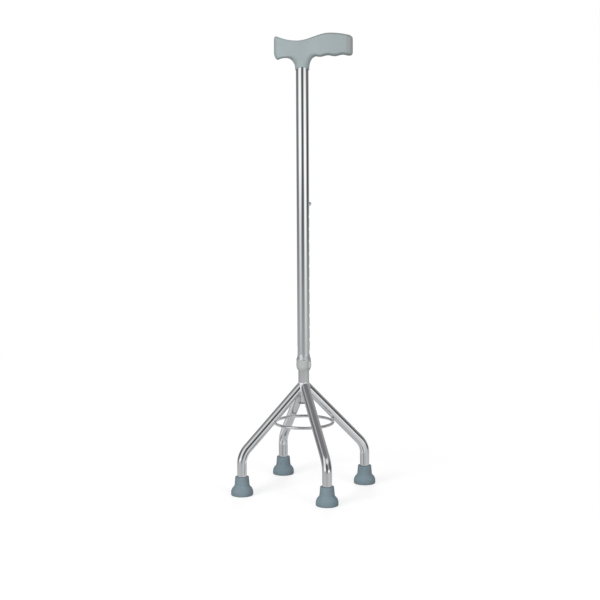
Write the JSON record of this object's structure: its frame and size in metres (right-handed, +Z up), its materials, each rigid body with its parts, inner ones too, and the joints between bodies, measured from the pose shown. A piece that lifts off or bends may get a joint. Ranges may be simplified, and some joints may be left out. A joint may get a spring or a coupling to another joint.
{
  "type": "quad cane",
  "caption": "Height-adjustable quad cane: T-grip on a telescoping chromed tube with snap-button lock, over four splayed legs with a brace ring and rubber ferrules.",
  "frame": {"origin": "on the floor under the post's axis, midway between the four feet", "axes": "+Z up along the tubes, +X along the grip towards its heel and out of the snap button, -Y towards the picture's camera"},
  "size_m": [0.261, 0.261, 0.8118],
  "materials": {
    "grip_plastic": "satin moulded grey",
    "chrome_plate": "bright plated steel tube",
    "bush_nylon": "natural nylon",
    "collar_plastic": "satin light grey",
    "button_plate": "bright plated",
    "spring_steel": "spring steel strip",
    "ferrule_rubber": "matte blue-grey rubber",
    "washer_steel": "zinc plated"
  },
  "bodies": {
    "base": {"lower_tube": "chrome_plate", "leg_1": "chrome_plate", "leg_2": "chrome_plate", "leg_3": "chrome_plate", "leg_4": "chrome_plate", "brace_ring": "chrome_plate", "button_spring": "spring_steel", "ferrule_1": "ferrule_rubber", "ferrule_2": "ferrule_rubber", "ferrule_3": "ferrule_rubber", "ferrule_4": "ferrule_rubber", "ferrule_washer_1": "washer_steel", "ferrule_washer_2": "washer_steel", "ferrule_washer_3": "washer_steel", "ferrule_washer_4": "washer_steel"},
    "upper": {"upper_tube": "chrome_plate", "handle_grip": "grip_plastic", "collar_bush": "bush_nylon"},
    "collar": {"lock_collar": "collar_plastic"},
    "button": {"snap_button": "button_plate"}
  },
  "joints": [
    {"name": "height_slide", "type": "slide", "parent": "base", "child": "upper", "axis": [0, 0, 1], "range_m": [0, 0.264]},
    {"name": "collar_turn", "type": "hinge", "parent": "upper", "child": "collar", "pos_m": [0, 0, 0.2365], "axis": [0, 0, 1], "range_deg": [0, 90]},
    {"name": "button_press", "type": "slide", "parent": "base", "child": "button", "axis": [-1, 0, 0], "range_m": [0, 0.0052], "stiffness_N_per_m": 900, "springref_m": -0.003, "deforming": ["button_spring"]}
  ]
}
